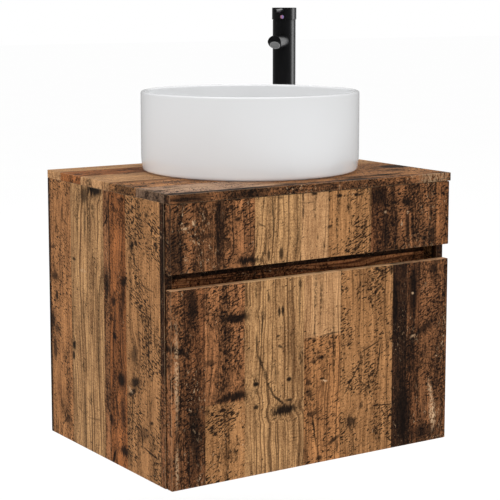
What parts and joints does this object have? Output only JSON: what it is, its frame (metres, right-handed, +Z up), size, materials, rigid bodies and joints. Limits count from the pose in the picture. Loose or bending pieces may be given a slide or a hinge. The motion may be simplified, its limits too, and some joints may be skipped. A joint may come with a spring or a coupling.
{
  "type": "vessel sink on vanity",
  "caption": "Wall-hung bathroom vanity with a drawer, a round vessel basin on its countertop and a tall single-lever mixer tap.",
  "frame": {"origin": "bottom centre of the bounding box: middle of the width and depth, lowest edge of the cabinet", "axes": "+Z up, +Y towards the wall, +X to the right seen from the front"},
  "size_m": [0.6, 0.45, 0.8],
  "materials": {
    "wood_countertop": "reclaimed-wood foil, satin",
    "wood_panel": "reclaimed-wood foil, satin",
    "wood_front": "reclaimed-wood foil, satin",
    "board_inner": "matt wood board",
    "drawer_board": "light melamine board",
    "zinc": "zinc-plated steel",
    "ceramic": "gloss white glaze",
    "chrome": "polished",
    "tap_black": "satin black",
    "brass": "machined",
    "rubber": "matt",
    "trap_plastic": "white moulded plastic",
    "cartridge_plastic": "moulded plastic",
    "aerator_grey": "grey moulded plastic",
    "indicator": "red and blue dot"
  },
  "bodies": {
    "vanity": {"countertop": "wood_countertop", "left_side_panel": "wood_panel", "right_side_panel": "wood_panel", "bottom_panel": "board_inner", "upper_back_rail": "board_inner", "lower_back_rail": "board_inner", "front_stretcher": "board_inner", "groove_rail": "board_inner", "upper_front_panel": "wood_front", "front_bracket_left": "zinc", "front_bracket_right": "zinc", "hanger_left": "zinc", "hanger_right": "zinc", "slide_outer_left": "zinc", "slide_outer_right": "zinc", "basin": "ceramic", "waste_flange": "chrome", "waste_seal_upper": "rubber", "waste_seal_lower": "rubber", "waste_locknut": "chrome", "waste_spider": "brass", "trap_inlet_nut": "trap_plastic", "trap_dip_tube": "trap_plastic", "trap_body": "trap_plastic", "trap_cup": "trap_plastic", "trap_outlet_nut": "trap_plastic", "trap_outlet_pipe": "trap_plastic", "wall_rosette": "chrome", "tap_body": "tap_black", "tap_base_ring": "tap_black", "tap_base_seal": "rubber", "tap_spout": "tap_black", "tap_aerator": "aerator_grey", "tap_cartridge": "cartridge_plastic", "tap_cartridge_nut": "tap_black", "tap_shank": "brass", "tap_under_seal": "rubber", "tap_washer": "zinc", "tap_mounting_nut": "brass", "tap_inlet_hot": "brass", "tap_inlet_cold": "brass"},
    "drawer": {"drawer_front": "wood_front", "drawer_side_left": "drawer_board", "drawer_side_right": "drawer_board", "drawer_inner_front": "drawer_board", "drawer_back": "drawer_board", "drawer_bottom": "drawer_board", "drawer_bumper_left": "rubber", "drawer_bumper_right": "rubber", "slide_inner_left": "zinc", "slide_inner_right": "zinc"},
    "slide_middles": {"slide_middle_left": "zinc", "slide_middle_right": "zinc"},
    "plug": {"waste_plug": "chrome"},
    "handle_carrier": {"tap_cartridge_rotor": "cartridge_plastic"},
    "handle": {"tap_handle_cap": "tap_black", "tap_lever": "tap_black", "tap_stem": "brass", "tap_grub_screw": "zinc", "tap_indicator": "indicator"}
  },
  "joints": [
    {"name": "drawer_slide", "type": "slide", "parent": "vanity", "child": "drawer", "axis": [0, -1, 0], "range_m": [0, 0.32]},
    {"name": "middle_slide", "type": "slide", "parent": "vanity", "child": "slide_middles", "axis": [0, -1, 0], "range_m": [0, 0.16]},
    {"name": "plug_lift", "type": "slide", "parent": "vanity", "child": "plug", "axis": [0, 0, 1], "range_m": [0, 0.008]},
    {"name": "handle_turn", "type": "hinge", "parent": "vanity", "child": "handle_carrier", "pos_m": [0.2095, 0.185, 0.772], "axis": [0, 0, 1], "range_deg": [-45, 45]},
    {"name": "handle_lift", "type": "hinge", "parent": "handle_carrier", "child": "handle", "pos_m": [0.2095, 0.185, 0.772], "axis": [-0.7071, 0.7071, 0], "range_deg": [0, 22]}
  ],
  "couplings": [
    {"joint": "middle_slide", "follows": "drawer_slide", "ratio": 0.5}
  ]
}
